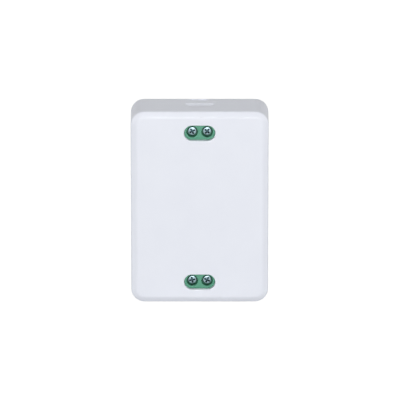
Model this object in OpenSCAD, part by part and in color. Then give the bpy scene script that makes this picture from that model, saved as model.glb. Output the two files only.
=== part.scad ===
// Wired surface-mounted door contact: the switch half, with its push-fit cover.
//
// The model stands as it hangs on the wall: +Z up along the long side, the front faces -Y,
// and the origin is the centre of the flat back. Every module draws in the plan frame, with
// x across, y up the long side and z out from the wall, and stand() turns that frame upright.

/* [Case] */
// Width across the front
case_w = 47; // [46:0.5:60]
// Height along the long side
case_h = 68; // [66:0.5:90]
// Plan radius of the corners at the wall
corner_r = 4.7; // [4.2:0.1:6.5]
// Wall of the cover
wall = 1.6; // [1.2:0.1:2]
// How far each side leans in between the wall and the front chamfer
side_draft = 0.1; // [0.05:0.05:0.15]
// Front chamfer, measured across the face
chamfer_w = 1.9; // [1.4:0.1:2.4]
// Front chamfer, measured along the depth
chamfer_d = 1.1; // [0.8:0.1:1.3]
// Length of the soft blend on either side of a chamfer edge
edge_soft = 0.5; // [0.2:0.1:0.6]

/* [Windows and break-outs] */
// Width of a screwdriver window
window_w = 10.6; // [9:0.1:11.4]
// Height of a screwdriver window, which has round ends
window_h = 5.3; // [4.4:0.1:6]
// Width of the scooped wire break-out in each end wall
scoop_w = 10.6; // [10.4:0.1:12]
// Length of a break-out along the depth
scoop_l = 6.6; // [5.6:0.1:7]
// Radius of its two corners near the face
scoop_r = 4.9; // [3:0.1:5.2]
// Depth of its floor below the end wall
scoop_cut = 0.6; // [0.3:0.1:0.7]
// Width of the groove that weakens the wall behind it
groove_w = 0.6; // [0.4:0.1:1]
// Depth of that groove
groove_cut = 0.5; // [0.3:0.1:0.6]
// Width of the pry slot near the back edge
pry_w = 5.4; // [4:0.2:8]
// Depth of the pry slot into the wall
pry_cut = 0.25; // [0.15:0.05:0.4]

/* [Base plate] */
// Floor of the base plate
floor_t = 1.5; // [1.2:0.1:2]
// Rim of the base plate
rim_t = 1.2; // [0.9:0.1:1.4]
// Gap between the base plate and the cover, all round
fit_gap = 0.2; // [0.15:0.05:0.3]
// Height of the board's seats above the floor
seat_h = 1.5; // [1.3:0.1:2.5]
// Distance from a wall-screw slot to the rim
fixing_inset = 5.5; // [5:0.1:6]
// Distance between the two wall-screw slots
fixing_pitch = 36; // [30:1:42]
// Width of a wall-screw slot
fixing_slot_w = 4; // [3.2:0.1:4.4]
// Length of a wall-screw slot, end to end
fixing_slot_l = 7; // [5:0.5:9]

/* [Snap catches] */
// Width of a catch
catch_w = 5; // [4:0.5:7]
// Thickness of a catch's arm
catch_t = 1; // [0.8:0.05:1.1]
// Height of a catch above the floor
catch_h = 7.5; // [6:0.1:8.5]
// How far a catch's nose stands out
catch_nose = 0.5; // [0.35:0.05:0.6]
// Distance of the catches from the case's middle
catch_y = 19; // [14:1:22]

/* [Circuit board] */
// Thickness of the board
board_t = 1.6; // [1:0.1:2]
// Board past the terminal block, on the wiring side
board_margin = 4.3; // [3:0.1:5]

/* [Terminal blocks] */
// Distance between the poles
pitch = 5.08; // [5:0.01:5.2]
// Length of a block, from its back to its wire side
block_l = 8; // [7.8:0.1:9]
// Height of a block above the board
block_h = 10; // [9.9:0.1:12]
// Room for the wires between a block and the end wall
wire_room = 1.9; // [1.5:0.1:3]
// Diameter of a screw well
well_d = 3.9; // [3.7:0.1:4]
// Diameter of a screw head
head_d = 3; // [2.8:0.1:3.3]
// Height of a screw head
head_h = 1.7; // [1.3:0.1:1.8]
// How deep a screw head lies in its well
head_sink = 0.8; // [0.3:0.1:0.9]
// Diameter of a screw's shank
shank_d = 2.5; // [2:0.1:2.5]
// Opening of a clamp for its wire
wire_space = 2; // [1.9:0.1:2.2]
// How far a clamp rises
clamp_travel = 1.8; // [1:0.1:1.8]

/* [Reed switch] */
// Diameter of the glass
glass_d = 2.4; // [2:0.1:2.8]
// Length of the glass
glass_l = 14; // [12:0.5:16]
// Distance of the reed switch from the board's edge
reed_inset = 3.7; // [3:0.1:5]
// Height of the glass's axis above the board
reed_lift = 1.8; // [1.6:0.1:3]
// Distance of each lead's bend from the middle
lead_reach = 11.5; // [10:0.1:13]

/* [Tamper switch] */
// Side of the square switch body
tamper_w = 6; // [5.6:0.1:7]
// Height of the switch body
tamper_h = 5.5; // [5.4:0.1:7]
// Place across the case
tamper_x = 2; // [0:0.5:3]
// Diameter of the plunger
plunger_d = 2.4; // [2:0.1:2.6]
// How far the plunger stands out of the body with the cover on
plunger_out = 2.5; // [1.5:0.1:3]
// How far the cover holds the plunger down
plunger_travel = 0.75; // [0.4:0.05:0.9]

/* [Hidden] */

$fn = 48;
// Overrun of every cut past the face that it goes through
cut = 1;
// Straight pieces of each soft blend
blend_steps = 3;
// Part of the break-out's ramp that takes its first, steeper slope
ramp_share = 0.44;

// Clearances
lid_gap = 0.3;        // cover to terminal block
board_gap = 0.3;      // board to rim
slide_gap = 0.1;      // clamp cage in its chamber, and plates that pass each other
seat_gap = 0.05;      // faces that only rest on each other
turn_gap = 0.05;      // shank in its thread, radially
pin_gap = 0.1;        // contact in its slot

// Small sizes of the base plate
base_edge = 0.3;      // chamfer under the rim
seat_d = 4.4;
screw_boss_d = 5.2;
collar_t = 1.6;       // raised lip round a wall-screw slot
collar_h = 1;
relief_w = 0.6;       // slots beside each catch
entry_d = 8;          // rear wire break-out
entry_groove = 0.6;
entry_skin = 0.6;

// Small sizes of the cover
inner_soft = 0.8;     // chamfer between its walls and its face, inside
window_edge = 0.3;
rib_t = 1;
rib_h = 1.2;
rib_x = 12.4;
rib_l = 44;
boss_d = 4;
pry_l = 1.2;
pry_z = 0.8;
scoop_from_board = 0.3;
scoop_ramp = 3.9;     // length over which its floor runs in
scoop_slant = 0.5;    // width of its slanted sides
pocket_gap = 0.15;
nose_lip = 0.3;
nose_l = 1.5;

// Small sizes of the board and its screws
board_r = 1.5;
screw_head_d = 3.8;
screw_head_h = 1.3;
screw_d = 2.2;
screw_bite = 2.3;
screw_gap = 0.03;
board_screw_x = -12;
board_screw_y = 20.5;
seat_x = 6.6;
seat_y = 17;
seat_left_inset = 3;
seat_end_inset = 3.4;

// Small sizes of the terminal blocks
block_side = 0.2;     // block past the last pole, each side
block_bevel = 1;
block_floor = 0.6;
cage_w = 3.8;
cage_l = 4.4;
cage_side = 0.6;
cage_foot = 0.7;
cage_top = 0.9;
bar_w = 2.2;
bar_t = 0.6;
bar_reach = 1.4;      // bar past the screw's axis
pin_w = 1;
pin_t = 0.8;
pin_set = 3.5;        // back of the pin to the screw's axis
pin_out = 1;          // pins and leads past the board
mouth = 0.4;          // step of the wire entry's mouth, each side
mouth_l = 0.7;
entry_w = 2.8;
head_bevel = 0.25;
recess_l = 2.1;
recess_w = 0.55;
recess_h = 0.65;
recess_turns = [28, 50, 12, 64];

// Small sizes of the reed switch
glass_wall = 0.35;
glass_tip_d = 1.1;
glass_taper = 1.5;
seal_l = 1.15;        // solid glass round each lead
seal_taper = 0.7;
lead_d = 0.6;
lead_bend = 1;
blade_w = 1.1;
blade_t = 0.2;
blade_lap = 0.6;      // each blade past the middle
blade_gap = 0.12;
blade_root_d = 0.56;
blade_root_l = 0.9;

// Small sizes of the tamper switch
tamper_floor = 0.8;
tamper_roof = 0.8;
tamper_bevel = 0.5;
collar_d = 3.8;
collar_l = 0.8;
guide_d = 1.8;
tip_r = 0.5;
spring_d = 3.2;
spring_wire = 0.35;
spring_turns = 3.5;
spring_sides = 6;     // flats round the wire
spring_steps = 16;    // pieces a turn
leg_w = 0.8;
leg_t = 0.4;
leg_pitch = 4.5;

// Places worked out from the sizes above, from the wall outwards
board_z = floor_t + seat_h;
board_top = board_z + board_t;
case_d = board_top + block_h + lid_gap + wall;
inner_top = case_d - wall;
base_w = case_w - 2 * (wall + fit_gap);
base_h = case_h - 2 * (wall + fit_gap);
base_r = corner_r - wall - fit_gap;
board_x0 = -(base_w / 2 - rim_t - board_gap);
board_y1 = base_h / 2 - rim_t - board_gap;
block_w = 2 * pitch + 2 * block_side;
board_x1 = block_w / 2 + board_margin;
term_y = case_h / 2 - wall - wire_room - block_l / 2;
fixing_x = base_w / 2 - rim_t - fixing_inset;
catch_z0 = floor_t + catch_h - nose_l;
scoop_z = board_top + scoop_from_board;

// Places inside a terminal block, above the board
cage_z = block_floor + slide_gap;
bar_z = cage_z + cage_foot + wire_space;
cage_h = cage_foot + wire_space + bar_t + slide_gap + cage_top;
chamber_top = cage_z + cage_h + clamp_travel + slide_gap;
head_z = block_h - head_sink - head_h;
shank_z = bar_z + bar_t + slide_gap;

// Places of the reed switch
reed_x = board_x0 + reed_inset;
reed_z = board_top + reed_lift;
seal_y = glass_l / 2 - seal_l;

// Places inside the tamper switch, above the board
tamper_bore_d = plunger_d + 2 * slide_gap;
tamper_bore_top = tamper_h - tamper_roof;
collar_z = tamper_bore_top - slide_gap - plunger_travel - collar_l;

// Plan frame to the upright part
module stand() {
    rotate([90, 0, 0]) children();
}

// Point at a distance from a towards b
function along(a, b, distance) = a + (b - a) * distance / norm(b - a);

// Soft blend between two points, drawn towards the corner where their lines meet
function blend(a, corner, b) = [
    for (i = [0 : blend_steps])
        let (t = i / blend_steps)
            (1 - t) ^ 2 * a + 2 * (1 - t) * t * corner + t ^ 2 * b
];

// Box with round corners in plan, whose sides follow an edge: [inset, height] points from below
module edged_box(w, h, r, edge) {
    low = edge[0][1];
    high = edge[len(edge) - 1][1];
    function across(half) = concat(
        [for (p = edge) [half - p[0], p[1]]],
        [for (i = [len(edge) - 1 : -1 : 0]) [edge[i][0] - half, edge[i][1]]]
    );
    for (turn = [0 : 3]) {
        flip = turn % 2 == 0 ? [w, h] : [h, w];
        rotate(90 * turn) translate([flip[0] / 2 - r, flip[1] / 2 - r, 0])
            rotate_extrude(angle = 90) polygon(concat([[0, low]], [for (p = edge) [r - p[0], p[1]]], [[0, high]]));
    }
    if (w > 2 * r)
        translate([r - w / 2, 0, 0]) rotate([90, 0, 90]) linear_extrude(w - 2 * r) polygon(across(h / 2));
    if (h > 2 * r)
        translate([0, h / 2 - r, 0]) rotate([90, 0, 0]) linear_extrude(h - 2 * r) polygon(across(w / 2));
}

// Upright plate with round corners
module plate(w, h, r, z0, z1) {
    edged_box(w, h, r, [[0, z0], [0, z1]]);
}

// Cross recess cut from a head whose top is at z = 0
module cross_recess(turn) {
    for (a = [0, 90])
        rotate(turn + a) translate([-recess_l / 2, -recess_w / 2, -recess_h])
            cube([recess_l, recess_w, recess_h + cut]);
}

// Both ends of the case, as mirror images
module both_ends() {
    children();
    mirror([0, 1, 0]) children();
}

// The four places of the snap catches, each facing its side wall
module each_catch() {
    for (side = [0, 1], y = [-catch_y, catch_y])
        mirror([side, 0, 0]) translate([base_w / 2, y, 0]) children();
}

// Cover

// Field of the wire break-out, drawn outwards from a plane: straight at the back, round at the front
module break_out_field(inset, height) {
    rotate([-90, 0, 0]) intersection() {
        plate(scoop_w - 2 * inset, 2 * (scoop_l - inset), scoop_r - inset, 0, height);
        translate([-scoop_w, -scoop_l, -cut]) cube([2 * scoop_w, scoop_l - inset, height + 2 * cut]);
    }
}

// Wire break-out in the upper end wall: a scoop outside, whose floor runs in from the wall and
// whose other sides slant, and a groove under the edge of that floor inside
module wire_break_out() {
    ramp = blend([0, 0], [scoop_cut, scoop_ramp * ramp_share], [scoop_cut, scoop_ramp]);
    translate([0, case_h / 2, scoop_z]) {
        intersection() {
            rotate([-90, 0, 0]) edged_box(scoop_w, 2 * scoop_l, scoop_r, [
                [2 * scoop_slant, -2 * scoop_cut], [0, 0], [0, cut],
            ]);
            translate([-scoop_w, 0, 0]) rotate([90, 0, 90]) linear_extrude(2 * scoop_w) polygon(concat(
                [[cut, 0]], [for (p = ramp) [-p[0], p[1]]], [[-scoop_cut, scoop_l + cut], [cut, scoop_l + cut]]
            ));
        }
        translate([0, -wall - cut, 0]) difference() {
            break_out_field(scoop_slant, cut + groove_cut);
            translate([0, -cut, 0]) break_out_field(scoop_slant + groove_w, 3 * cut + groove_cut);
        }
    }
    translate([-pry_w / 2, case_h / 2 - pry_cut, pry_z]) cube([pry_w, pry_cut + cut, pry_l]);
}

module window() {
    edge = [
        [0, inner_top - cut], [0, case_d - window_edge],
        [-window_edge, case_d], [-window_edge, case_d + cut],
    ];
    translate([0, term_y, 0]) edged_box(window_w, window_h, window_h / 2, edge);
}

module catch_pocket() {
    translate([-cut, -catch_w / 2 - pocket_gap, catch_z0 - pocket_gap])
        cube([cut + catch_nose + pocket_gap, catch_w + 2 * pocket_gap, nose_l + 2 * pocket_gap]);
}

module front_cover() {
    side_top = [side_draft, case_d - chamfer_d];
    face_in = [side_draft + chamfer_w, case_d];
    outside = concat(
        [[0, 0]],
        blend(along(side_top, [0, 0], edge_soft), side_top, along(side_top, face_in, edge_soft)),
        blend(along(face_in, side_top, edge_soft), face_in, along(face_in, [corner_r, case_d], edge_soft))
    );
    inside = [
        [0, -cut], [0, 0], [side_draft, inner_top - inner_soft], [side_draft + inner_soft, inner_top],
    ];
    plunger_top = board_top + tamper_h + plunger_out;
    color("white") stand() {
        difference() {
            edged_box(case_w, case_h, corner_r, outside);
            edged_box(case_w - 2 * wall, case_h - 2 * wall, corner_r - wall, inside);
            both_ends() {
                window();
                wire_break_out();
            }
            each_catch() catch_pocket();
        }
        for (x = [-rib_x, rib_x])
            translate([x - rib_t / 2, -rib_l / 2, inner_top - rib_h]) cube([rib_t, rib_l, rib_h]);
        translate([tamper_x, 0, plunger_top + seat_gap]) cylinder(d = boss_d, h = inner_top - plunger_top - seat_gap);
    }
}

// Base plate and its catches

module fixing_slot(grow, z0, z1) {
    for (y = [-fixing_pitch / 2, fixing_pitch / 2])
        translate([fixing_x, y, 0])
            plate(fixing_slot_w + 2 * grow, fixing_slot_l + 2 * grow, fixing_slot_w / 2 + grow, z0, z1);
}

module board_seats() {
    for (y = [-1, 1]) {
        translate([board_x0 + seat_left_inset, y * (board_y1 - seat_end_inset), 0])
            cylinder(d = seat_d, h = board_z);
        translate([seat_x, y * seat_y, 0]) cylinder(d = seat_d, h = board_z);
        translate([board_screw_x, y * board_screw_y, 0]) cylinder(d = screw_boss_d, h = board_z);
    }
}

module rear_base() {
    color("whitesmoke") stand() difference() {
        union() {
            difference() {
                edged_box(base_w, base_h, base_r, [[base_edge, 0], [0, base_edge], [0, board_top]]);
                plate(base_w - 2 * rim_t, base_h - 2 * rim_t, base_r - rim_t, floor_t, board_top + cut);
                each_catch()
                    translate([-rim_t - cut, -catch_w / 2 - relief_w, floor_t])
                        cube([rim_t + 2 * cut, catch_w + 2 * relief_w, board_top]);
            }
            board_seats();
            fixing_slot(collar_t, 0, floor_t + collar_h);
        }
        fixing_slot(0, -cut, floor_t + collar_h + cut);
        for (y = [-board_screw_y, board_screw_y])
            translate([board_screw_x, y, board_z - screw_bite])
                cylinder(d = screw_d + 2 * screw_gap, h = screw_bite + cut);
        translate([fixing_x, 0, -cut]) difference() {
            cylinder(d = entry_d, h = cut + floor_t - entry_skin);
            cylinder(d = entry_d - 2 * entry_groove, h = cut + floor_t - entry_skin);
        }
    }
}

module snap_catches() {
    color("whitesmoke") stand() each_catch() rotate([90, 0, 0]) translate([0, 0, -catch_w / 2])
        linear_extrude(catch_w) polygon([
            [-catch_t, floor_t], [0, floor_t], [0, catch_z0], [catch_nose, catch_z0 + nose_lip],
            [catch_nose, catch_z0 + 2 * nose_lip], [0, catch_z0 + nose_l], [-catch_t, catch_z0 + nose_l],
        ]);
}

// Board and its screws

module circuit_board() {
    board_w = board_x1 - board_x0;
    color("seagreen") stand() difference() {
        translate([(board_x0 + board_x1) / 2, 0, 0]) plate(board_w, 2 * board_y1, board_r, board_z, board_top);
        translate([0, 0, board_z - cut]) {
            for (y = [-board_screw_y, board_screw_y])
                translate([board_screw_x, y, 0]) cylinder(d = screw_d + 2 * pin_gap, h = board_t + 2 * cut);
            for (y = [-lead_reach, lead_reach])
                translate([reed_x, y, 0]) cylinder(d = lead_d + 2 * pin_gap, h = board_t + 2 * cut);
            for (end = [0, 180], x = [-pitch / 2, pitch / 2])
                rotate(end) translate([x, term_y - pin_set + pin_t / 2, 0])
                    cylinder(d = norm([pin_w, pin_t]) + pin_gap, h = board_t + 2 * cut);
            for (y = [-leg_pitch / 2, leg_pitch / 2])
                translate([tamper_x, y, 0]) cylinder(d = norm([leg_w, leg_t]) + pin_gap, h = board_t + 2 * cut);
        }
    }
}

module board_screws() {
    color("silver") stand() for (y = [-board_screw_y, board_screw_y])
        translate([board_screw_x, y, board_top]) difference() {
            union() {
                cylinder(d = screw_head_d, h = screw_head_h - head_bevel);
                translate([0, 0, screw_head_h - head_bevel])
                    cylinder(d1 = screw_head_d, d2 = screw_head_d - 2 * head_bevel, h = head_bevel);
                translate([0, 0, slide_gap - board_t - screw_bite])
                    cylinder(d = screw_d, h = board_t + screw_bite - slide_gap);
            }
            translate([0, 0, screw_head_h]) cross_recess(0);
        }
}

// Terminal blocks

// Frame of a block: its screws' line over the board, wires coming in from +y
module at_block(end) {
    stand() rotate(end) translate([0, term_y, board_top]) children();
}

module at_poles() {
    for (x = [-pitch / 2, pitch / 2]) translate([x, 0, 0]) children();
}

// Current bar and its solder pin, grown by a margin
module contact(margin) {
    translate([-bar_w / 2 - margin, -pin_set - margin, bar_z - margin])
        cube([bar_w + 2 * margin, pin_set + bar_reach + 2 * margin, bar_t + 2 * margin]);
    translate([-pin_w / 2 - margin, -pin_set - margin, -board_t - pin_out])
        cube([pin_w + 2 * margin, pin_t + 2 * margin, board_t + pin_out + bar_z + bar_t]);
}

module pole_cavity() {
    chamber_w = cage_w + 2 * slide_gap;
    chamber_l = cage_l + 2 * slide_gap;
    entry_z = cage_z + cage_foot - slide_gap;
    entry_h = wire_space + bar_t;
    translate([-chamber_w / 2, -chamber_l / 2, block_floor]) cube([chamber_w, chamber_l, chamber_top - block_floor]);
    translate([0, 0, chamber_top - cut]) cylinder(d = shank_d + 2 * slide_gap, h = block_h);
    translate([0, 0, head_z - seat_gap]) cylinder(d = well_d, h = block_h);
    translate([-entry_w / 2, 0, entry_z]) cube([entry_w, block_l, entry_h]);
    translate([-entry_w / 2 - mouth, block_l / 2 - mouth_l, entry_z - mouth])
        cube([entry_w + 2 * mouth, mouth_l + cut, entry_h + 2 * mouth]);
    contact(pin_gap);
}

module terminal_housing(end) {
    color("mediumseagreen") at_block(end) difference() {
        translate([-block_w / 2, 0, 0]) rotate([90, 0, 90]) linear_extrude(block_w) polygon([
            [-block_l / 2, 0], [block_l / 2, 0], [block_l / 2, block_h - block_bevel],
            [block_l / 2 - block_bevel, block_h], [-block_l / 2, block_h],
        ]);
        at_poles() pole_cavity();
    }
}

module terminal_housing_top() {
    terminal_housing(0);
}

module terminal_housing_bottom() {
    terminal_housing(180);
}

module terminal_contacts(end) {
    color("silver") at_block(end) at_poles() contact(0);
}

module terminal_contacts_top() {
    terminal_contacts(0);
}

module terminal_contacts_bottom() {
    terminal_contacts(180);
}

// Frame of pole 1 to 4: top left, top right, bottom left, bottom right
module at_pole(number) {
    end = number > 2 ? 180 : 0;
    left = number % 2 == 1 ? -1 : 1;
    at_block(end) translate([(end == 0 ? left : -left) * pitch / 2, 0, 0]) children();
}

module terminal_screw(number) {
    color("lightgray") at_pole(number) difference() {
        union() {
            translate([0, 0, head_z]) cylinder(d = head_d, h = head_h - head_bevel);
            translate([0, 0, head_z + head_h - head_bevel])
                cylinder(d1 = head_d, d2 = head_d - 2 * head_bevel, h = head_bevel);
            translate([0, 0, shank_z]) cylinder(d = shank_d, h = head_z - shank_z);
        }
        translate([0, 0, head_z + head_h]) cross_recess(recess_turns[number - 1]);
    }
}

module clamp_cage(number) {
    color("gainsboro") at_pole(number) translate([0, 0, cage_z]) difference() {
        translate([-cage_w / 2, -cage_l / 2, 0]) cube([cage_w, cage_l, cage_h]);
        translate([cage_side - cage_w / 2, -cage_l, cage_foot])
            cube([cage_w - 2 * cage_side, 2 * cage_l, cage_h - cage_foot - cage_top]);
        translate([0, 0, cage_h - cage_top - cut]) cylinder(d = shank_d + 2 * turn_gap, h = cage_top + 2 * cut);
    }
}

module terminal_screw_1() {
    terminal_screw(1);
}

module terminal_screw_2() {
    terminal_screw(2);
}

module terminal_screw_3() {
    terminal_screw(3);
}

module terminal_screw_4() {
    terminal_screw(4);
}

module clamp_cage_1() {
    clamp_cage(1);
}

module clamp_cage_2() {
    clamp_cage(2);
}

module clamp_cage_3() {
    clamp_cage(3);
}

module clamp_cage_4() {
    clamp_cage(4);
}

// Reed switch

// Frame of the reed switch: z along its glass towards the upper end, seen from the glass's middle
module at_reed() {
    stand() translate([reed_x, 0, reed_z]) rotate([-90, 0, 0]) children();
}

// Outline of a bullet-ended tube from its middle plane up, mirrored below
module ampoule(r, half, taper, tip_r) {
    rotate_extrude() polygon([
        [0, -half], [tip_r, -half], [r, taper - half], [r, half - taper], [tip_r, half], [0, half],
    ]);
}

module reed_glass() {
    color("lightcyan", 0.5) at_reed() difference() {
        ampoule(glass_d / 2, glass_l / 2, glass_taper, glass_tip_d / 2);
        ampoule(glass_d / 2 - glass_wall, seal_y, seal_taper, lead_d / 2);
        cylinder(d = lead_d, h = 2 * glass_l, center = true);
    }
}

// Lead of the upper end: from the seal, along the glass, and down through the board
module reed_lead(end) {
    drop = reed_lift + board_t + pin_out - lead_bend;
    color("silver") stand() rotate(end) translate([end == 0 ? reed_x : -reed_x, 0, reed_z]) {
        translate([0, seal_y + seat_gap, 0]) rotate([-90, 0, 0])
            cylinder(d = lead_d, h = lead_reach - lead_bend - seal_y - seat_gap);
        translate([0, lead_reach - lead_bend, -lead_bend]) rotate([90, 0, 90])
            rotate_extrude(angle = 90) translate([lead_bend, 0]) circle(d = lead_d);
        translate([0, lead_reach, -lead_bend - drop]) cylinder(d = lead_d, h = drop);
    }
}

module reed_lead_upper() {
    reed_lead(0);
}

module reed_lead_lower() {
    reed_lead(180);
}

// Blade that comes in from the upper end, above the other; the lower one is turned about the glass
module reed_blade(flip) {
    color("silver") stand() translate([reed_x, 0, reed_z]) rotate([flip, 0, 0]) {
        translate([0, seal_y, 0]) rotate([90, 0, 0]) cylinder(d = blade_root_d, h = blade_root_l);
        translate([-blade_w / 2, -blade_lap, blade_gap / 2])
            cube([blade_w, seal_y - seal_taper + blade_lap, blade_t]);
    }
}

module reed_blade_upper() {
    reed_blade(0);
}

module reed_blade_lower() {
    reed_blade(180);
}

// Tamper switch

module at_tamper() {
    stand() translate([tamper_x, 0, board_top]) children();
}

module tamper_body() {
    color("dimgray") at_tamper() difference() {
        edged_box(tamper_w, tamper_w, tamper_bevel, [[0, 0], [0, tamper_h]]);
        translate([0, 0, tamper_floor]) cylinder(d = collar_d + 2 * slide_gap, h = tamper_bore_top - tamper_floor);
        translate([0, 0, tamper_floor]) cylinder(d = tamper_bore_d, h = tamper_h);
        for (y = [-leg_pitch / 2, leg_pitch / 2])
            translate([-leg_w / 2 - pin_gap, y - leg_t / 2 - pin_gap, -cut])
                cube([leg_w + 2 * pin_gap, leg_t + 2 * pin_gap, cut + tamper_floor]);
    }
}

module tamper_plunger() {
    top = tamper_h + plunger_out;
    color("white") at_tamper() {
        translate([0, 0, collar_z]) cylinder(d = collar_d, h = collar_l);
        translate([0, 0, collar_z]) cylinder(d = plunger_d, h = top - tip_r - collar_z);
        translate([0, 0, top - tip_r]) cylinder(d1 = plunger_d, d2 = plunger_d - 2 * tip_r, h = tip_r);
    }
}

// Wire swept round a helix as one skin, its ends closed flat
module helix_wire(coil_r, wire_r, turns, height) {
    sides = spring_sides;
    steps = ceil(spring_steps * turns);
    function spot(i, k) =
        let (a = 360 * turns * i / steps, b = 360 * k / sides, r = coil_r + wire_r * cos(b))
            [r * cos(a), r * sin(a), height * i / steps + wire_r * sin(b)];
    points = [for (i = [0 : steps], k = [0 : sides - 1]) spot(i, k)];
    skin = [
        for (i = [0 : steps - 1], k = [0 : sides - 1])
            let (a = i * sides + k, b = i * sides + (k + 1) % sides)
                each [[a, a + sides, b], [b, a + sides, b + sides]]
    ];
    first = [for (k = [1 : sides - 2]) [0, k, k + 1]];
    last = [for (k = [1 : sides - 2]) [steps * sides, steps * sides + k + 1, steps * sides + k]];
    polyhedron(points, concat(skin, first, last));
}

module tamper_spring() {
    wire_r = spring_wire / 2;
    low = tamper_floor + seat_gap + wire_r;
    color("silver") at_tamper() translate([0, 0, low])
        helix_wire(spring_d / 2 - wire_r, wire_r, spring_turns, collar_z - seat_gap - wire_r - low);
}

module tamper_contacts() {
    color("silver") at_tamper() for (y = [-leg_pitch / 2, leg_pitch / 2])
        translate([-leg_w / 2, y - leg_t / 2, -board_t - pin_out])
            cube([leg_w, leg_t, board_t + pin_out + tamper_floor - seat_gap]);
}

front_cover();
rear_base();
snap_catches();
circuit_board();
board_screws();
terminal_housing_top();
terminal_housing_bottom();
terminal_contacts_top();
terminal_contacts_bottom();
terminal_screw_1();
terminal_screw_2();
terminal_screw_3();
terminal_screw_4();
clamp_cage_1();
clamp_cage_2();
clamp_cage_3();
clamp_cage_4();
reed_glass();
reed_lead_upper();
reed_lead_lower();
reed_blade_upper();
reed_blade_lower();
tamper_body();
tamper_plunger();
tamper_spring();
tamper_contacts();
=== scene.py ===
"""Looks of the wired door contact: its cover, terminal blocks, board, switches and fastenings.

Lengths are in millimetres here, in the frame of the part: X across, Y into the wall, Z up.
solid() turns them into metres. A depth is a distance out of the wall, towards the viewer.
"""

import math

import bmesh
import bpy
from mathutils import Matrix, Vector


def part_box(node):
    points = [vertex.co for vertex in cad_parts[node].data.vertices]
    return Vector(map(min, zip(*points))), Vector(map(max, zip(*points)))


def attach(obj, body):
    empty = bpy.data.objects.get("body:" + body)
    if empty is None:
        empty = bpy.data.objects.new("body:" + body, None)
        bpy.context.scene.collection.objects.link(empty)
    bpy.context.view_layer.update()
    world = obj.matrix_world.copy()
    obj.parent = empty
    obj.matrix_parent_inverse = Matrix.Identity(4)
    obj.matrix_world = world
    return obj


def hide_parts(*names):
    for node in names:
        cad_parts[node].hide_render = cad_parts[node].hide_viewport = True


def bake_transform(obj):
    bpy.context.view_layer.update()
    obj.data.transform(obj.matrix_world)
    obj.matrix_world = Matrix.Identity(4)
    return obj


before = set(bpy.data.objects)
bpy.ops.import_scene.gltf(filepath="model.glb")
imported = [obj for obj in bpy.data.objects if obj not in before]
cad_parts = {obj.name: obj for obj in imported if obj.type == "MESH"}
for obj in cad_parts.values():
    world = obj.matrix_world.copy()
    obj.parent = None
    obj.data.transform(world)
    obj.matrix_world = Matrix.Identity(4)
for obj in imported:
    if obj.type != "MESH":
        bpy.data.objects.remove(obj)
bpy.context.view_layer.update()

MM = 0.001
# How far a cutter reaches past the face that it cuts
OVERCUT = 1.0

# Case
CASE_W, CASE_H, CASE_D = 47.0, 68.0, 16.5
CORNER_R = 4.7
WALL = 1.6
SIDE_DRAFT = 0.1
CHAMFER_W, CHAMFER_D = 1.9, 1.1
EDGE_SOFT = 0.6
INNER_TOP = CASE_D - WALL
INNER_SOFT = 0.8

# Windows
WINDOW_W, WINDOW_H = 10.6, 5.3
WINDOW_EDGE = 0.3

# Break-outs in the end walls: the scoop's outline and its distance from the back
SCOOP_W, SCOOP_L, SCOOP_R, SCOOP_DEPTH = 10.6, 6.6, 4.9, 4.9
# Depth of the scoop, length of the slope of its sides, and how much longer the slope of its front is
SCOOP_CUT, SCOOP_SLANT, SCOOP_RISE = 0.75, 1.9, 1.5
# Length of the ramp at the scoop's back, and the share of it where it is steepest
SCOOP_RAMP, RAMP_SHARE = 2.3, 0.62
# Groove on the wall's inner side, and the slot for prying the cover off
GROOVE_INSET, GROOVE_W, GROOVE_CUT = 0.5, 0.6, 0.5
PRY_W, PRY_CUT, PRY_L, PRY_DEPTH = 5.4, 0.25, 1.2, 0.8

# Inside of the cover
CATCH_Y, CATCH_W, CATCH_NOSE = 19.0, 5.0, 0.5
CATCH_DEPTHS = (7.5, 9.0)
POCKET_GAP = 0.15
RIB_X, RIB_T, RIB_L, RIB_H = 12.4, 1.0, 44.0, 1.2
BOSS_X, BOSS_R, BOSS_TOP = 2.0, 2.0, 12.65
# How far ribs and boss run into the wall that carries them
ROOT = 0.3

# Board, tracks and solder
BOARD_BACK, BOARD_FRONT = 3.0, 4.6
PIN_Z, PIN_END = 23.4, 2.0
TRACK_W, TRACK_H = 1.0, 0.045
PAD_R, LOW_JOINT, TALL_JOINT = 0.95, 0.12, 0.55

# Clamp screws and board screws: each recess is its length, width and depth
POLE_X, POLE_Z = 2.54, 26.5
HEAD_TOP, HEAD_UNDER, SHANK_END = 13.8, 12.1, 8.7
CLAMP_SHANK_R, CLAMP_PITCH, CLAMP_HEAD_R, CLAMP_RECESS = 1.25, 0.45, 1.5, (2.1, 0.62, 0.85)
CLAMP_TURNS = [28, 50, 12, 64]
BOARD_SCREWS = [(-12.0, 20.5), (-12.0, -20.5)]
BOARD_SHANK_R, BOARD_PITCH, BOARD_HEAD_R, BOARD_RECESS = 1.1, 0.8, 1.9, (2.1, 0.55, 0.62)
BOARD_TIP, BOARD_HEAD_H = 0.75, 1.3
BOARD_TURNS = [15, 55]
HEAD_EDGE = 0.28

# Reed switch
REED_X, REED_DEPTH = -16.5, 6.4
GLASS_R, GLASS_HALF, GLASS_WALL = 1.2, 7.0, 0.35
NECK_R, DOME_L = 0.36, 1.5
LEAD_R, LEAD_REACH, LEAD_BEND = 0.3, 11.5, 1.0
SEAL_Z = 5.85

# Tamper switch
TAMPER_X, LEG_Z = 2.0, 2.25
FLANGE_R, FLANGE_H, STEM_R = 1.9, 0.8, 1.2
COIL_R, COIL_WIRE_R, COIL_TURNS, COIL_STEPS = 1.425, 0.175, 3.5, 140

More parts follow.
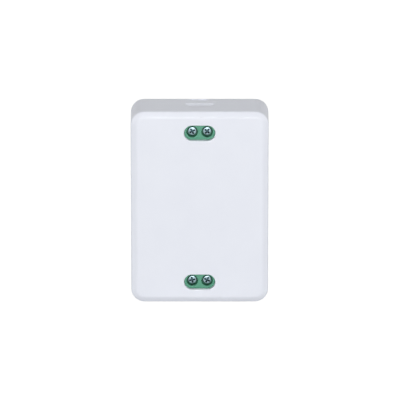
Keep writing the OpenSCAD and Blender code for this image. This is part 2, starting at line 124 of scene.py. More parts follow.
# Light: name, degrees to the right of the front, degrees up, light on a square facing it, side in metres
LAMPS = [
    ("front_softbox", 2, 12, 0.61, 0.7),
    ("back_softbox", 180, 60, 0.07, 0.8),
    ("left_softbox", -75, 25, 0.24, 0.8),
    ("right_softbox", 75, 25, 0.23, 0.8),
]
LAMP_DISTANCE = 1.5
ROOM_LEVEL = 0.22
FLOOR_REACH = 4000
FLOOR_GAP = 0.1

# Camera: degrees up, distance, focal length on a 36 mm sensor, and the point that it looks at
CAMERA_RISE = 17.3
CAMERA_DISTANCE = 1600
CAMERA_LENS = 421.5
CAMERA_AIM = (0.113, -8.25, 0.36)


# Shapes


def solid(name, points, faces):
    """A mesh from points in millimetres, with its faces turned outwards."""
    mesh = bpy.data.meshes.new(name)
    mesh.from_pydata([[MM * c for c in point] for point in points], [], faces)
    work = bmesh.new()
    work.from_mesh(mesh)
    bmesh.ops.recalc_face_normals(work, faces=work.faces)
    work.to_mesh(mesh)
    work.free()
    made = bpy.data.objects.new(name, mesh)
    bpy.context.scene.collection.objects.link(made)
    return made


def stack(name, rings, hollow=False):
    """A closed solid through rings of equally many points. A hollow one joins its last ring to its first."""
    count = len(rings[0])
    points = [point for ring in rings for point in ring]
    levels = len(rings) if hollow else len(rings) - 1
    faces = []
    for i in range(levels):
        a, b = i * count, (i + 1) % len(rings) * count
        faces += [(a + k, a + (k + 1) % count, b + (k + 1) % count, b + k) for k in range(count)]
    if not hollow:
        faces += [tuple(range(count)), tuple(range(len(points) - count, len(points)))]
    return solid(name, points, faces)


def round_corners(w, h, r, depth, x=0.0, z=0.0, steps=14):
    """Ring of a round-cornered rectangle at one depth."""
    ring = []
    for quarter, (side, end) in enumerate(((1, 1), (-1, 1), (-1, -1), (1, -1))):
        for i in range(steps + 1):
            turn = math.radians(90 * (quarter + i / steps))
            ring.append((
                x + side * (w / 2 - r) + r * math.cos(turn),
                -depth,
                z + end * (h / 2 - r) + r * math.sin(turn),
            ))
    return ring


def turned_rings(spot, axis, profile, steps=48):
    """Rings about an axis through spot, from (radius, distance along the axis) pairs.

    A radius may be a function of the turn.
    """
    turn = Vector(axis).to_track_quat("Z", "Y").to_matrix()
    rings = []
    for radius, out in profile:
        ring = []
        for k in range(steps):
            angle = 2 * math.pi * k / steps
            r = radius(angle) if callable(radius) else radius
            ring.append(Vector(spot) + turn @ Vector((r * math.cos(angle), r * math.sin(angle), out)))
        rings.append(ring)
    return rings


def turned(name, spot, axis, profile, steps=48):
    """A closed turned solid."""
    return stack(name, turned_rings(spot, axis, profile, steps))


def bar(name, low, high):
    """Straight bar between two corners: a tool for cutting, or a rib to be joined on."""
    (x0, y0, z0), (x1, y1, z1) = low, high
    return stack(name, [[(x0, y, z0), (x1, y, z0), (x1, y, z1), (x0, y, z1)] for y in (y0, y1)])


def wire_rings(path, radius, sides=16):
    """Rings of a round wire along a path."""
    path = [Vector(point) for point in path]
    rings = []
    lean = None
    for i, point in enumerate(path):
        ahead = (path[min(i + 1, len(path) - 1)] - path[max(i - 1, 0)]).normalized()
        if lean is None:
            lean = ahead.orthogonal().normalized()
        lean = (lean - ahead * lean.dot(ahead)).normalized()
        across = ahead.cross(lean)
        rings.append([
            point + radius * (lean * math.cos(a) + across * math.sin(a))
            for a in (2 * math.pi * k / sides for k in range(sides))
        ])
    return rings


def settle(piece):
    """Turns the piece's modifiers into its mesh."""
    graph = bpy.context.evaluated_depsgraph_get()
    mesh = bpy.data.meshes.new_from_object(piece.evaluated_get(graph), depsgraph=graph)
    raw = piece.data
    piece.modifiers.clear()
    piece.data = mesh
    bpy.data.meshes.remove(raw)


def work_with(piece, tools, how):
    """Cuts tools from a piece, joins them to it or keeps what they share, and puts the tools away."""
    for tool in tools:
        step = piece.modifiers.new(tool.name, "BOOLEAN")
        step.object = tool
        step.operation = how
        step.solver = "EXACT"
    settle(piece)
    for tool in tools:
        bpy.data.objects.remove(tool)


def mend_flats(piece, angle=0.6):
    """Welds the seams of a mesh and makes each flat one face again."""
    work = bmesh.new()
    work.from_mesh(piece.data)
    bmesh.ops.remove_doubles(work, verts=work.verts, dist=2e-6)
    bmesh.ops.dissolve_limit(
        work, angle_limit=math.radians(angle), verts=work.verts, edges=work.edges,
        use_dissolve_boundaries=False,
    )
    work.to_mesh(piece.data)
    work.free()


def soften(piece, width, segments=2, angle=35):
    """Breaks the sharp edges by a small radius, and shades the piece smooth."""
    if width:
        edge = piece.modifiers.new("edge", "BEVEL")
        edge.width = width * MM
        edge.segments = segments
        edge.limit_method = "ANGLE"
        edge.angle_limit = math.radians(angle)
        edge.use_clamp_overlap = True
        settle(piece)
    piece.data.shade_smooth()
    piece.data.set_sharp_from_angle(angle=math.radians(angle))
    even = piece.modifiers.new("even", "WEIGHTED_NORMAL")
    even.keep_sharp = True
    even.weight = 50
    return piece


def like_solid(name, node):
    """A new piece in the shape of a CAD node, for its edges to be broken."""
    made = bpy.data.objects.new(name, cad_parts[node].data.copy())
    bpy.context.scene.collection.objects.link(made)
    made.data.materials.clear()
    mend_flats(made)
    return made


def fit(piece, material, slot, body, *nodes):
    """Gives a piece its finish, the body that it rides on and the CAD nodes that it stands for."""
    if material:
        piece.data.materials.append(material)
    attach(piece, body)
    if nodes:
        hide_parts(*nodes)
    return piece


# Finishes


# A wave texture repeats every 0.314 of its units at scale 1, so its scale is this over the wanted period
WAVE_PERIOD = 0.314


def linear(code):
    """Linear colour from an sRGB hex code."""
    parts = [int(code[i:i + 2], 16) / 255 for i in (1, 3, 5)]
    return [c / 12.92 if c <= 0.04045 else ((c + 0.055) / 1.055) ** 2.4 for c in parts] + [1.0]


def add(tree, kind, settings=(), sockets=()):
    """Adds a node with its own settings, and with socket values or links: a link is an output socket."""
    made = tree.nodes.new(kind)
    for name, value in dict(settings).items():
        setattr(made, name, value)
    for name, value in dict(sockets).items():
        if isinstance(value, bpy.types.NodeSocket):
            tree.links.new(value, made.inputs[name])
        else:
            made.inputs[name].default_value = value
    return made


def finish_of(name):
    """A new material with its shader and the place on the part in millimetres."""
    material = bpy.data.materials.new(name)
    material.use_nodes = True
    tree = material.node_tree
    shader = tree.nodes["Principled BSDF"]
    place = add(tree, "ShaderNodeTexCoord")
    in_mm = add(
        tree, "ShaderNodeMapping", (), {"Vector": place.outputs["Object"], "Scale": (1000, 1000, 1000)}
    )
    return material, tree, shader, in_mm.outputs["Vector"]


def two_tone(tree, amount, low, high, shader, socket):
    """Colour between two hex codes by a grey amount, into the shader."""
    mix = add(tree, "ShaderNodeMix", {"data_type": "RGBA"}, {0: amount, 6: linear(low), 7: linear(high)})
    tree.links.new(mix.outputs[2], shader.inputs[socket])
    return mix


def textured_abs(name, dark, pale, grain, rough):
    """Moulded plastic: a spark-eroded grain breaks the gloss up, and the colour stays almost even.

    The grain is its real 0.02 mm made ten times as coarse or more, so that it shows. The colour drifts
    over 9 mm.
    """
    material, tree, shader, mm = finish_of(name)
    cloud = add(tree, "ShaderNodeTexNoise", (), {"Vector": mm, "Scale": 1 / 9, "Detail": 2.0})
    two_tone(tree, cloud.outputs["Fac"], dark, pale, shader, "Base Color")
    pits = add(
        tree, "ShaderNodeTexNoise", (), {"Vector": mm, "Scale": 1 / grain, "Detail": 3.0, "Roughness": 0.6}
    )
    sheen = add(
        tree, "ShaderNodeMapRange", (),
        {"Value": pits.outputs["Fac"], "To Min": rough - 0.06, "To Max": rough + 0.08},
    )
    tree.links.new(sheen.outputs["Result"], shader.inputs["Roughness"])
    relief = add(
        tree, "ShaderNodeBump", (), {"Strength": 0.35, "Distance": 0.00003, "Height": pits.outputs["Fac"]}
    )
    tree.links.new(relief.outputs["Normal"], shader.inputs["Normal"])
    shader.inputs["IOR"].default_value = 1.53
    return material


def glass_filled_nylon(name, dark, pale):
    """Moulded nylon or polyester with glass fibre: a satin skin with faint flow marks about 1 mm wide."""
    material, tree, shader, mm = finish_of(name)
    flow = add(tree, "ShaderNodeMapping", (), {"Vector": mm, "Scale": (0.5, 1.6, 2.4)})
    marks = add(
        tree, "ShaderNodeTexNoise", (), {"Vector": flow.outputs["Vector"], "Scale": 1.1, "Detail": 4.0}
    )
    two_tone(tree, marks.outputs["Fac"], dark, pale, shader, "Base Color")
    skin = add(tree, "ShaderNodeTexNoise", (), {"Vector": mm, "Scale": 1 / 0.18, "Detail": 2.0})
    relief = add(
        tree, "ShaderNodeBump", (), {"Strength": 0.3, "Distance": 0.00002, "Height": skin.outputs["Fac"]}
    )
    tree.links.new(relief.outputs["Normal"], shader.inputs["Normal"])
    shader.inputs["Roughness"].default_value = 0.38
    shader.inputs["IOR"].default_value = 1.53
    return material


def plated_metal(name, dark, pale, rough, scratch, stretch=(1, 1, 1)):
    """Plated or drawn metal: a bright skin whose gloss wanders with fine scratches.

    Scratches are hundredths of a millimetre wide. They are drawn tenths wide, so that they show.
    """
    material, tree, shader, mm = finish_of(name)
    lay = add(tree, "ShaderNodeMapping", (), {"Vector": mm, "Scale": stretch})
    marks = add(
        tree, "ShaderNodeTexNoise", (), {"Vector": lay.outputs["Vector"], "Scale": 1 / scratch, "Detail": 4.0}
    )
    two_tone(tree, marks.outputs["Fac"], dark, pale, shader, "Base Color")
    gloss = add(
        tree, "ShaderNodeMapRange", (),
        {"Value": marks.outputs["Fac"], "To Min": rough - 0.07, "To Max": rough + 0.1},
    )
    tree.links.new(gloss.outputs["Result"], shader.inputs["Roughness"])
    relief = add(
        tree, "ShaderNodeBump", (), {"Strength": 0.25, "Distance": 0.00001, "Height": marks.outputs["Fac"]}
    )
    tree.links.new(relief.outputs["Normal"], shader.inputs["Normal"])
    shader.inputs["Metallic"].default_value = 1.0
    return material


def solder_mask(name, dark, pale):
    """Screened green solder mask over glass laminate: the 0.5 mm weave shows faintly under a glossy skin."""
    material, tree, shader, mm = finish_of(name)
    yarns = {"Vector": mm, "Scale": WAVE_PERIOD / 0.5, "Distortion": 0.6}
    warp = add(tree, "ShaderNodeTexWave", {"bands_direction": "X"}, yarns)
    weft = add(tree, "ShaderNodeTexWave", {"bands_direction": "Z"}, yarns)
    weave = add(
        tree, "ShaderNodeMath", {"operation": "MULTIPLY"}, {0: warp.outputs["Fac"], 1: weft.outputs["Fac"]}
    )
    two_tone(tree, weave.outputs[0], dark, pale, shader, "Base Color")
    relief = add(
        tree, "ShaderNodeBump", (), {"Strength": 0.2, "Distance": 0.00001, "Height": weave.outputs[0]}
    )
    tree.links.new(relief.outputs["Normal"], shader.inputs["Normal"])
    shader.inputs["Roughness"].default_value = 0.27
    shader.inputs["IOR"].default_value = 1.55
    return material


def cut_laminate(name, dark, pale):
    """Routed edge of glass laminate: tan resin in 0.2 mm layers between the glass cloths."""
    material, tree, shader, mm = finish_of(name)
    layers = add(
        tree, "ShaderNodeTexWave", {"bands_direction": "Y"},
        {"Vector": mm, "Scale": WAVE_PERIOD / 0.2, "Distortion": 1.5},
    )
    two_tone(tree, layers.outputs["Fac"], dark, pale, shader, "Base Color")
    shader.inputs["Roughness"].default_value = 0.6
    shader.inputs["IOR"].default_value = 1.55
    return material


def reed_tube_glass(name):
    """Drawn soda glass with a green iron tint, so that its edges look darker than its middle."""
    material, tree, shader, mm = finish_of(name)
    drawn = add(tree, "ShaderNodeMapping", (), {"Vector": mm, "Scale": (3, 3, 0.15)})
    lines = add(
        tree, "ShaderNodeTexNoise", (), {"Vector": drawn.outputs["Vector"], "Scale": 1.0, "Detail": 1.0}
    )
    relief = add(
        tree, "ShaderNodeBump", (), {"Strength": 0.05, "Distance": 0.00002, "Height": lines.outputs["Fac"]}
    )
    tree.links.new(relief.outputs["Normal"], shader.inputs["Normal"])
    shader.inputs["Base Color"].default_value = linear("#CFE8DC")
    shader.inputs["Roughness"].default_value = 0.02
    shader.inputs["IOR"].default_value = 1.51
    shader.inputs["Transmission Weight"].default_value = 1.0
    return material


# White ABS with a little blue in it, which keeps it from looking cream: a soft sheen, no clear reflection
COVER_ABS = textured_abs("cover_abs", "#E7EAF3", "#EBEEF6", 0.22, 0.46)
# The same ABS from the base's mould, a shade greyer and coarser in grain
BASE_ABS = textured_abs("base_abs", "#DFE2E9", "#E6E8EE", 0.3, 0.42)
# Green nylon: deep in its wells, milky where the light falls on it
BLOCK_NYLON = glass_filled_nylon("green_nylon", "#459173", "#5AA285")
# Black polyester of the switch body: dark grey where the light grazes it
BLACK_PBT = glass_filled_nylon("black_pbt", "#202225", "#2B2D30")
# Acetal plunger: a warmer, waxier white than the case
PLUNGER_POM = textured_abs("plunger_pom", "#DDDCD4", "#E8E7E0", 0.4, 0.3)
# Solder mask on bare laminate looks dark, and on copper it looks lighter
BOARD_MASK = solder_mask("board_mask", "#17502F", "#236B41")
TRACK_MASK = solder_mask("track_mask", "#2C7A4B", "#37895A")
BOARD_EDGE = cut_laminate("board_edge", "#A8925C", "#C9B57F")
# Zinc plating passivated blue: cold grey, kept darker than bright zinc as a painted reflection of dark
# surroundings, with a hard bright glint on the head's edge
ZINC = plated_metal("bright_zinc", "#6C838A", "#9FB6BB", 0.3, 0.35)
# Painted shade: the faces of each cross recess get nearly black zinc, standing in for the shade deep in the
# recess
RECESS_SHADE_ZINC = plated_metal("recess_shade_zinc", "#2C4046", "#4B636A", 0.42, 0.3)
# Nickel plating on stamped steel: warm grey, its marks drawn out along the stamping
CAGE_NICKEL = plated_metal("nickel_plate", "#A8A497", "#C9C5B9", 0.24, 0.5, (1, 3, 1))
# Tin plating: pale and matt
TINNED = plated_metal("matt_tin", "#BDBEBC", "#D6D7D5", 0.36, 0.3)
# Solder set from the melt: the brightest metal on the board
SOLDER = plated_metal("solder_tin", "#B4B7B9", "#D9DBDC", 0.22, 0.8)
# Rolled nickel iron of the blades: grey, with rolling lines along them
REED_NICKEL_IRON = plated_metal("reed_nickel_iron", "#9C9A94", "#BDBBB5", 0.3, 0.25, (2, 2, 0.3))
# Drawn spring steel: a darker, bluer grey
SPRING_WIRE = plated_metal("spring_wire", "#8D9197", "#B5B9BE", 0.26, 0.2)
REED_GLASS = reed_tube_glass("reed_tube_glass")


# Cover


def soft_corner(a, corner, b, steps=7):
    """Points of a soft blend from a to b, drawn towards the corner."""
    a, corner, b = Vector(a), Vector(corner), Vector(b)
    return [
        (1 - t) ** 2 * a + 2 * (1 - t) * t * corner + t ** 2 * b
        for t in (i / steps for i in range(steps + 1))
    ]


def towards(a, b, distance):
    """The point that lies a distance from a on the way to b."""
    a, b = Vector(a), Vector(b)
    return a + (b - a).normalized() * distance


def case_rings(w, h, r, edge):
    """Rings round the case from (inset, depth) pairs."""
    return [round_corners(w - 2 * inset, h - 2 * inset, r - inset, depth) for inset, depth in edge]


def window_tool(end):
    """Round-ended cutter with a small radius round the window's outer edge."""
    rim = [(0.0, INNER_TOP - OVERCUT), (0.0, CASE_D - WINDOW_EDGE)]
    rim += [
        (-WINDOW_EDGE * (1 - math.cos(turn)), CASE_D - WINDOW_EDGE + WINDOW_EDGE * math.sin(turn))
        for turn in (math.radians(15 * i) for i in range(1, 7))
    ]
    rim.append((-WINDOW_EDGE - 0.001, CASE_D + OVERCUT))
    return stack("window_tool", [
        round_corners(
            WINDOW_W - 2 * inset, WINDOW_H - 2 * inset, WINDOW_H / 2 - inset - 0.001, depth,
            z=end * POLE_Z, steps=12,
        )
        for inset, depth in rim
    ])


def field_ring(inset, z, shorter=0.0, whole=False):
    """Outline of a break-out's field at a height z: straight at the back, round at the front.

    A whole one goes on behind the straight edge as its mirror image.
    """
    w, length = SCOOP_W - 2 * inset, SCOOP_L - inset - shorter
    corner = min(SCOOP_R - inset, length - 0.01)
    outline = [(x, along) for x, _, along in round_corners(w, 2 * length, corner, 0)]
    if not whole:
        outline = [(x, along) for x, along in outline if along > inset] + [(-w / 2, inset), (w / 2, inset)]
    return [(x, -SCOOP_DEPTH - along, z) for x, along in outline]


def break_out_tools(end):
    """Cutters for an end wall: the scoop that thins it, the groove behind the scoop, and the pry slot."""
    top = end * CASE_H / 2
    rings = [
        field_ring(SCOOP_SLANT * under, top - end * SCOOP_CUT * under, SCOOP_RISE * under, whole=True)
        for under in (1.1, 0)
    ]
    rings.append(field_ring(0, top + end * OVERCUT, whole=True))
    scoop = stack("scoop_tool", rings)
    ramp = soft_corner((0, 0), (SCOOP_CUT, SCOOP_RAMP * RAMP_SHARE), (SCOOP_CUT, SCOOP_RAMP), 9)
    far = SCOOP_L + OVERCUT
    side = [(OVERCUT, 0), *[(-cut, along) for cut, along in ramp], (-SCOOP_CUT, far), (OVERCUT, far)]
    over = stack("over_ramp_tool", [
        [(x, -SCOOP_DEPTH - along, top + end * out) for out, along in side] for x in (-SCOOP_W, SCOOP_W)
    ])
    work_with(scoop, [over], "INTERSECT")
    low, high = top - end * (WALL + OVERCUT), top - end * (WALL - GROOVE_CUT)
    groove = stack("groove_tool", [field_ring(GROOVE_INSET, z) for z in (low, high)])
    core_ends = (low - end * OVERCUT, high + end * OVERCUT)
    core = stack("core_tool", [field_ring(GROOVE_INSET + GROOVE_W, z) for z in core_ends])
    work_with(groove, [core], "DIFFERENCE")
    z = sorted((top - end * PRY_CUT, top + end * OVERCUT))
    pry = bar("pry_tool", (-PRY_W / 2, -PRY_DEPTH - PRY_L, z[0]), (PRY_W / 2, -PRY_DEPTH, z[1]))
    return [scoop, groove, pry]


def make_cover():
    """Cover shell with a soft chamfer round its face, windows, break-outs, ribs and a boss over the plunger."""
    side_top = (SIDE_DRAFT, CASE_D - CHAMFER_D)
    face_in = (SIDE_DRAFT + CHAMFER_W, CASE_D)
    edge = [(0, 0)]
    edge += soft_corner(towards(side_top, (0, 0), EDGE_SOFT), side_top, towards(side_top, face_in, EDGE_SOFT))
    edge += soft_corner(
        towards(face_in, side_top, EDGE_SOFT), face_in, towards(face_in, (CORNER_R, CASE_D), EDGE_SOFT)
    )
    cover = stack("cover_shell", case_rings(CASE_W, CASE_H, CORNER_R, edge))
    hollow = stack("hollow_tool", case_rings(
        CASE_W - 2 * WALL, CASE_H - 2 * WALL, CORNER_R - WALL,
        [(0, -OVERCUT), (0, 0), (SIDE_DRAFT, INNER_TOP - INNER_SOFT), (SIDE_DRAFT + INNER_SOFT, INNER_TOP)],
    ))
    work_with(cover, [hollow], "DIFFERENCE")
    pockets = []
    for side in (-1, 1):
        wall_in = side * (CASE_W / 2 - WALL)
        x = sorted((wall_in - side * OVERCUT, wall_in + side * (CATCH_NOSE - 0.05)))
        for z in (-CATCH_Y, CATCH_Y):
            reach = CATCH_W / 2 + POCKET_GAP
            pockets.append(bar(
                "pocket_tool",
                (x[0], -CATCH_DEPTHS[1] - POCKET_GAP, z - reach),
                (x[1], -CATCH_DEPTHS[0] + POCKET_GAP, z + reach),
            ))
    tools = [window_tool(1), window_tool(-1), *break_out_tools(1), *break_out_tools(-1), *pockets]
    work_with(cover, tools, "DIFFERENCE")
    ribs = [
        bar(
            "rib",
            (x - RIB_T / 2, -INNER_TOP - ROOT, -RIB_L / 2),
            (x + RIB_T / 2, RIB_H - INNER_TOP, RIB_L / 2),
        )
        for x in (-RIB_X, RIB_X)
    ]
    boss = turned("boss", (BOSS_X, 0, 0), (0, -1, 0), [
        (BOSS_R - 0.3, BOSS_TOP), (BOSS_R, BOSS_TOP + 0.3), (BOSS_R, INNER_TOP + ROOT),
    ])
    work_with(cover, [*ribs, boss], "UNION")
    mend_flats(cover)
    soften(cover, 0.1)
    return fit(cover, COVER_ABS, "cover_plastic", "cover", "front_cover")


# Fastenings


def cross_tools(x, depth, z, length, width, deep, turn):
    """Two crossed wedges, as a cross-head punch leaves them: narrower and shorter at the bottom."""
    tools = []
    for arm in (0, 90):
        lean = math.radians(turn + arm)
        rings = []
        for share, out in ((0.55, -deep), (1.0, 0.0), (1.0, 0.5)):
            half_l, half_w = length * share / 2, width * (0.4 + 0.6 * share) / 2
            rings.append([
                (
                    x + a * math.cos(lean) - b * math.sin(lean),
                    -depth - out,
                    z + a * math.sin(lean) + b * math.cos(lean),
                )
                for a, b in ((-half_l, -half_w), (half_l, -half_w), (half_l, half_w), (-half_l, half_w))
            ])
        tools.append(stack("cross_tool", rings))
    return tools


def thread_profile(low, high, crest, deep, pitch):
    """Shank rings whose radius follows a V thread, fading out at both ends."""
    profile = []
    count = round((high - low) / pitch * 6)
    for i in range(count + 1):
        out = low + (high - low) * i / count
        fade = min(1.0, (out - low) / pitch, (high - out) / pitch)

        def radius(turn, out=out, fade=fade):
            phase = (out / pitch - turn / (2 * math.pi)) % 1
            return crest - deep + deep * fade * (1 - abs(2 * phase - 1))

        profile.append((radius, out))
    return profile


def cross_screw(name, x, z, tip, shank_r, pitch, under, top, head_r, turn, recess):
    """Cheese-head screw with its thread and a cross recess, whose faces carry painted shade, darker than the
    head's.
    """
    edge = HEAD_EDGE
    profile = [(shank_r * 0.6, tip), (shank_r * 0.82, tip + pitch * 0.5)]
    profile += thread_profile(tip + pitch * 0.6, under - 0.02, shank_r, shank_r * 0.16, pitch)
    profile += [(head_r - 0.06, under), (head_r, under + 0.06), (head_r, top - edge)]
    profile += [
        (head_r - edge * (1 - math.cos(a)), top - edge + edge * math.sin(a) * 0.85)
        for a in (math.radians(22.5 * i) for i in range(1, 4))
    ]
    profile += [(head_r - edge * 1.1, top - 0.03), (head_r * 0.45, top)]
    screw = turned(name, (x, 0, z), (0, -1, 0), profile)
    length, width, deep = recess
    work_with(screw, cross_tools(x, top, z, length, width, deep, turn), "DIFFERENCE")
    screw.data.materials.append(ZINC)
    screw.data.materials.append(RECESS_SHADE_ZINC)
    # Painted shade: faces inside the cross recess take the nearly black zinc
    for face in screw.data.polygons:
        across, out, up = face.center / MM
        in_recess = under < -out < top - 0.08 and math.hypot(across - x, up - z) < length / 2
        face.material_index = int(in_recess)
    return screw


def make_terminal_screws():
    """The four clamp screws, each left at its own turn."""
    spots = [(-POLE_X, POLE_Z), (POLE_X, POLE_Z), (-POLE_X, -POLE_Z), (POLE_X, -POLE_Z)]
    for number, ((x, z), turn) in enumerate(zip(spots, CLAMP_TURNS), 1):
        screw = cross_screw(
            f"pole_screw_{number}", x, z, SHANK_END, CLAMP_SHANK_R, CLAMP_PITCH,
            HEAD_UNDER, HEAD_TOP, CLAMP_HEAD_R, turn, CLAMP_RECESS,
        )
        soften(screw, 0)
        fit(screw, None, "zinc_steel", f"screw_{number}", f"terminal_screw_{number}")


def make_board_screws():
    """The two self-tapping screws that hold the board down."""
    pair = [
        cross_screw(
            f"board_screw_{i}", x, z, BOARD_TIP, BOARD_SHANK_R, BOARD_PITCH,
            BOARD_FRONT, BOARD_FRONT + BOARD_HEAD_H, BOARD_HEAD_R, turn, BOARD_RECESS,
        )
        for i, ((x, z), turn) in enumerate(zip(BOARD_SCREWS, BOARD_TURNS))
    ]
    for screw in pair:
        soften(screw, 0)
        fit(screw, None, "zinc_steel", "base")
    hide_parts("board_screws")


# Pieces that keep the solids' shape, with their edges broken


def make_moulded_and_stamped():
    """Name, CAD node, edge radius, finish, slot and body of each piece that takes its solid's shape."""
    plan = [
        ("base_plate", "rear_base", 0.12, BASE_ABS, "base_plastic", "base"),
        ("catches", "snap_catches", 0.08, BASE_ABS, "base_plastic", "base"),
        ("block_top", "terminal_housing_top", 0.12, BLOCK_NYLON, "terminal_plastic", "base"),
        ("block_bottom", "terminal_housing_bottom", 0.12, BLOCK_NYLON, "terminal_plastic", "base"),
        ("bars_top", "terminal_contacts_top", 0.06, TINNED, "tinned_brass", "base"),
        ("bars_bottom", "terminal_contacts_bottom", 0.06, TINNED, "tinned_brass", "base"),
        ("switch_body", "tamper_body", 0.15, BLACK_PBT, "switch_plastic", "base"),
        ("switch_legs", "tamper_contacts", 0.05, TINNED, "tinned_brass", "base"),
        ("blade_upper", "reed_blade_upper", 0.03, REED_NICKEL_IRON, "reed_metal", "upper_blade"),
        ("blade_lower", "reed_blade_lower", 0.03, REED_NICKEL_IRON, "reed_metal", "lower_blade"),
    ]
    plan += [
        (f"cage_{i}", f"clamp_cage_{i}", 0.08, CAGE_NICKEL, "clamp_steel", f"clamp_{i}") for i in range(1, 5)
    ]
    for name, node, edge, material, slot, body in plan:
        fit(soften(like_solid(name, node), edge), material, slot, body, node)


# Board


def ribbon_points(path, width):
    """Left and right edge of a flat track along a path of (x, z) points."""
    spots = [Vector(p) for p in path]
    left, right = [], []
    for i, spot in enumerate(spots):
        before = (spot - spots[i - 1]).normalized() if i else None
        after = (spots[i + 1] - spot).normalized() if i + 1 < len(spots) else None
        way = ((before or after) + (after or before)).normalized()
        side = Vector((-way.y, way.x))
        reach = width / 2 / max(0.5, way.dot(after or before))
        left.append(spot + side * reach)
        right.append(spot - side * reach)
    return left, right


def track(name, path, width, depth, out):
    """Raised copper track under the mask, from depth towards out."""
    left, right = ribbon_points(path, width)
    outline = left + right[::-1]
    return stack(name, [[(p.x, -d, p.y) for p in outline] for d in (depth, depth + out)])


def joined(name, pieces):
    """One piece of several meshes that don't need cutting."""
    work = bmesh.new()
    for piece in pieces:
        work.from_mesh(piece.data)
        bpy.data.objects.remove(piece)
    mesh = bpy.data.meshes.new(name)
    work.to_mesh(mesh)
    work.free()
    made = bpy.data.objects.new(name, mesh)
    bpy.context.scene.collection.objects.link(made)
    return made


def make_board():
    """The board with its edge bare, two tracks to each block on both sides, and the soldered joints."""
    board = like_solid("board", "circuit_board")
    soften(board, 0.05)
    fit(board, BOARD_MASK, "board_laminate", "base", "circuit_board")
    board.data.materials.append(BOARD_EDGE)
    for face in board.data.polygons:
        face.material_index = 0 if abs(face.normal.y) > 0.9 else 1

    paths = []
    for end in (-1, 1):
        reed_way = [(-13.5, end * 14.5), (-7.5, end * 14.5), (-POLE_X, end * 19.5)]
        tamper_way = [(TAMPER_X, end * 14), (POLE_X, end * 15)]
        paths.append([(REED_X, end * LEAD_REACH), *reed_way, (-POLE_X, end * PIN_Z)])
        paths.append([(TAMPER_X, end * LEG_Z), *tamper_way, (POLE_X, end * PIN_Z)])
    tracks = [track("track", path, TRACK_W, BOARD_FRONT - 0.01, TRACK_H) for path in paths]
    tracks += [track("track", path, TRACK_W, BOARD_BACK - 0.035, TRACK_H) for path in paths]
    fit(soften(joined("tracks", tracks), 0), TRACK_MASK, "board_laminate", "base")

    holes = [(REED_X, LEAD_REACH), (REED_X, -LEAD_REACH), (TAMPER_X, LEG_Z), (TAMPER_X, -LEG_Z)]
    holes += [(side * POLE_X, end * PIN_Z) for side in (-1, 1) for end in (-1, 1)]
    joints = []
    for x, z in holes:
        for face, way in ((BOARD_FRONT, 1), (BOARD_BACK, -1)):
            tall = LOW_JOINT if way > 0 and z not in (LEAD_REACH, -LEAD_REACH) else TALL_JOINT
            joints.append(turned("joint", (x, 0, z), (0, -1, 0), [
                (PAD_R, face - 0.02 * way), (PAD_R, face + 0.07 * way), (0.78, face + 0.1 * way),
                (0.62, face + (0.1 + tall * 0.25) * way), (0.5, face + (0.1 + tall * 0.6) * way),
                (0.42, face + (0.1 + tall) * way),
            ], 28))
    fit(soften(joined("solder_joints", joints), 0), SOLDER, "tinned_brass", "base")


# Reed switch


def make_reed_switch():
    """Glass tube drawn in and sealed at both ends, and the two bent leads."""
    seal = GLASS_HALF - SEAL_Z
    outer = [(GLASS_R, 0.0)]
    outer += [
        (NECK_R + (GLASS_R - NECK_R) * math.cos(a) ** 0.8, GLASS_HALF - DOME_L + DOME_L * math.sin(a))
        for a in (math.radians(10 * i) for i in range(1, 9))
    ]
    outer.append((NECK_R, GLASS_HALF))
    inner = [
        (LEAD_R + 0.02, GLASS_HALF), (LEAD_R + 0.02, GLASS_HALF - seal),
        (0.6, GLASS_HALF - seal - 0.25), (GLASS_R - GLASS_WALL, GLASS_HALF - seal - 0.7),
    ]
    upper = outer + inner
    lower = [(r, -z) for r, z in reversed(upper)]
    tube = stack(
        "reed_tube",
        turned_rings((REED_X, -REED_DEPTH, 0), (0, 0, 1), upper[1:] + lower[:-1], 40),
        hollow=True,
    )
    fit(soften(tube, 0, angle=50), REED_GLASS, "reed_glass", "base", "reed_glass")

    for end, word in ((1, "upper"), (-1, "lower")):
        bend = [
            (REED_X, -REED_DEPTH + LEAD_BEND * (1 - math.cos(a)),
             end * (LEAD_REACH - LEAD_BEND + LEAD_BEND * math.sin(a)))
            for a in (math.radians(9 * i) for i in range(11))
        ]
        path = [(REED_X, -REED_DEPTH, end * (SEAL_Z + 0.05)), *bend, (REED_X, -PIN_END, end * LEAD_REACH)]
        lead = stack(f"lead_{word}", wire_rings(path, LEAD_R, 20))
        fit(soften(lead, 0, angle=50), TINNED, "reed_metal", "base", f"reed_lead_{word}")


# Tamper switch


def make_plunger_and_spring():
    """Flanged plunger with a domed tip, and the coil of its spring."""
    low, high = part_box("tamper_plunger")
    top, bottom = -low.y / MM, -high.y / MM
    plunger = turned("plunger", (TAMPER_X, 0, 0), (0, -1, 0), [
        (FLANGE_R - 0.1, bottom), (FLANGE_R, bottom + 0.1), (FLANGE_R, bottom + FLANGE_H - 0.1),
        (FLANGE_R - 0.1, bottom + FLANGE_H), (STEM_R, bottom + FLANGE_H),
        (STEM_R, top - 0.5), (1.13, top - 0.24), (0.95, top - 0.08), (0.6, top),
    ])
    fit(soften(plunger, 0), PLUNGER_POM, "plunger_plastic", "plunger", "tamper_plunger")

    low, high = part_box("tamper_spring")
    start, end = -high.y / MM, -low.y / MM
    path = []
    for i in range(COIL_STEPS + 1):
        a = 2 * math.pi * COIL_TURNS * i / COIL_STEPS
        out = start + COIL_WIRE_R + (end - start - 2 * COIL_WIRE_R) * i / COIL_STEPS
        path.append((TAMPER_X + COIL_R * math.cos(a), -out, COIL_R * math.sin(a)))
    spring = stack("plunger_spring", wire_rings(path, COIL_WIRE_R, 12))
    soften(spring, 0, angle=50)
    spring.data.materials.append(SPRING_WIRE)
    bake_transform(spring)
    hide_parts("tamper_spring")


# Studio


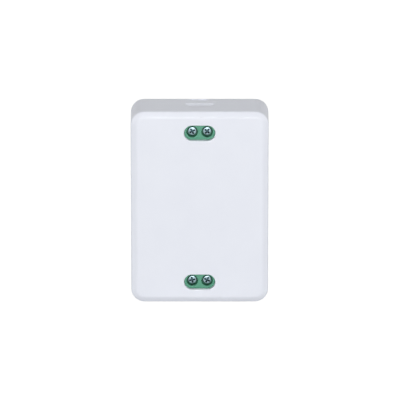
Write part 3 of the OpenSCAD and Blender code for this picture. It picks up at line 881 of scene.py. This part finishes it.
def seen_or_mirrored(tree):
    """1 where the camera, a mirror or a glass looks straight at a surface."""
    path = add(tree, "ShaderNodeLightPath")
    either = add(
        tree, "ShaderNodeMath", {"operation": "MAXIMUM"},
        {0: path.outputs["Is Camera Ray"], 1: path.outputs["Is Glossy Ray"]},
    )
    any_of = add(
        tree, "ShaderNodeMath", {"operation": "MAXIMUM"},
        {0: either.outputs[0], 1: path.outputs["Is Transmission Ray"]},
    )
    return any_of.outputs[0]


def make_studio():
    """White paper floor that keeps the shadow, an even pale room, and soft lamps, strongest from the front."""
    paper = bpy.data.materials.new("white_paper")
    paper.use_nodes = True
    tree = paper.node_tree
    tree.nodes.clear()
    glow = add(
        tree, "ShaderNodeMath", {"operation": "MULTIPLY"}, {0: seen_or_mirrored(tree), 1: 0.85}
    )
    shine = add(tree, "ShaderNodeEmission", (), {"Strength": glow.outputs[0]})
    matt = add(tree, "ShaderNodeBsdfDiffuse", (), {"Color": linear("#B4B4B4")})
    both = add(tree, "ShaderNodeAddShader", (), {0: shine.outputs[0], 1: matt.outputs[0]})
    add(tree, "ShaderNodeOutputMaterial", (), {"Surface": both.outputs[0]})
    corners = [(x * FLOOR_REACH, y * FLOOR_REACH, 0) for x, y in ((-1, -1), (1, -1), (1, 1), (-1, 1))]
    floor = solid("paper_floor", corners, [(0, 1, 2, 3)])
    floor.location.z = -(CASE_H / 2 + FLOOR_GAP) * MM
    floor.data.materials.append(paper)

    world = bpy.data.worlds.new("pale_room")
    bpy.context.scene.world = world
    world.use_nodes = True
    tree = world.node_tree
    level = add(
        tree, "ShaderNodeMapRange", (), {"Value": seen_or_mirrored(tree), "To Min": ROOM_LEVEL, "To Max": 1.0}
    )
    room = tree.nodes["Background"]
    room.inputs["Color"].default_value = linear("#FFFFFF")
    tree.links.new(level.outputs["Result"], room.inputs["Strength"])

    for name, turn, rise, level, size in LAMPS:
        turn, rise = math.radians(turn), math.radians(rise)
        way = Vector((math.sin(turn) * math.cos(rise), -math.cos(turn) * math.cos(rise), math.sin(rise)))
        lamp = bpy.data.lights.new(name, "AREA")
        lamp.shape = "SQUARE"
        lamp.size = size
        lamp.energy = level * math.pi ** 2 * LAMP_DISTANCE ** 2
        holder = bpy.data.objects.new(name, lamp)
        holder.location = way * LAMP_DISTANCE
        holder.rotation_euler = way.to_track_quat("Z", "Y").to_euler()
        bpy.context.scene.collection.objects.link(holder)


def make_camera():
    """Long lens from the front and a little above, at the photograph's angle."""
    rise = math.radians(CAMERA_RISE)
    aim = Vector(CAMERA_AIM) * MM
    view = bpy.data.cameras.new("camera")
    view.sensor_width = 36
    view.lens = CAMERA_LENS
    view.clip_end = 20
    holder = bpy.data.objects.new("camera", view)
    holder.location = aim + CAMERA_DISTANCE * MM * Vector((0, -math.cos(rise), math.sin(rise)))
    holder.rotation_euler = (math.pi / 2 - rise, 0, 0)
    bpy.context.scene.collection.objects.link(holder)
    bpy.context.scene.camera = holder


make_cover()
make_terminal_screws()
make_board_screws()
make_moulded_and_stamped()
make_board()
make_reed_switch()
make_plunger_and_spring()
make_studio()
make_camera()

bpy.context.scene.view_settings.view_transform = "Standard"
